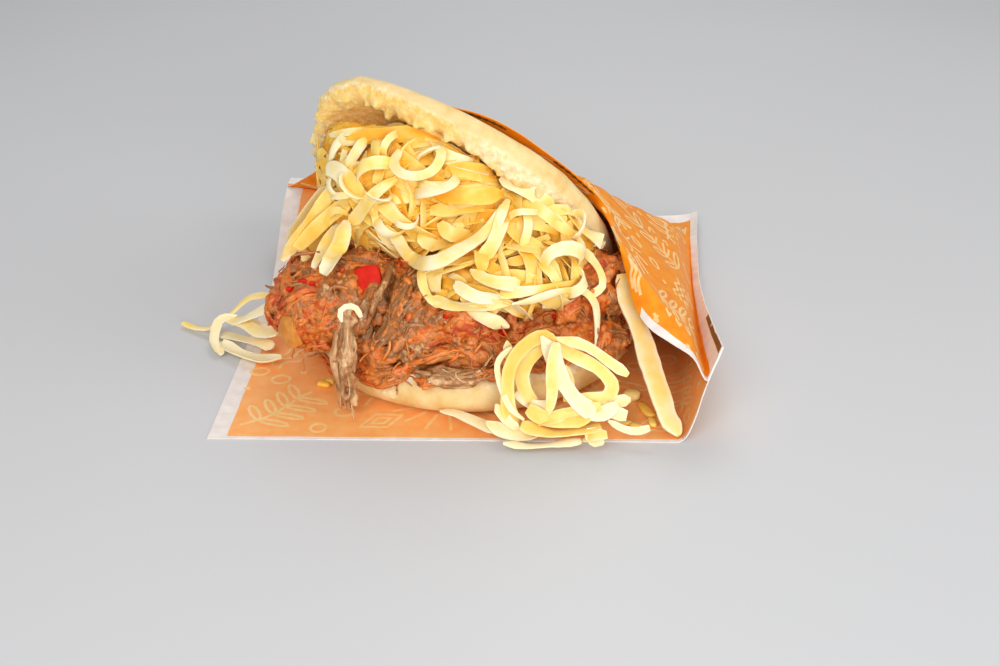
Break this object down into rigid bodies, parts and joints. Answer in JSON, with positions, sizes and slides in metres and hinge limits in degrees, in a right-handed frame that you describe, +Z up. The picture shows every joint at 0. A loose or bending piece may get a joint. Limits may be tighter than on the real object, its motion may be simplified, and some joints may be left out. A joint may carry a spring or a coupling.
{
  "type": "filled maize flatbread",
  "caption": "Round maize bread split open like a clam, filled with shredded beef in sauce and a heap of grated cheese, in an open printed paper bag.",
  "frame": {"origin": "on the ground under the middle of the lower half of the bread", "axes": "+Z up, -Y the side that the mouth opens to, +X the side of the bag's sealed seam"},
  "size_m": [0.1967, 0.1712, 0.0938],
  "materials": {
    "bread": "baked maize dough, dry and floury",
    "beef": "stewed meat, wet with orange sauce",
    "pepper": "cooked red pepper, wet",
    "onion": "cooked onion, wet and clouded",
    "cheese": "grated firm cheese, slightly greasy",
    "paper": "greaseproof paper, satin, with a pale line print"
  },
  "bodies": {
    "root": {"bread": "bread", "shredded_beef": "beef", "red_pepper": "pepper", "onion_left": "onion", "onion_right": "onion", "cheese_heap": "cheese", "cheese_front": "cheese", "cheese_left": "cheese", "cheese_strand": "cheese", "paper_bag": "paper"}
  },
  "joints": []
}
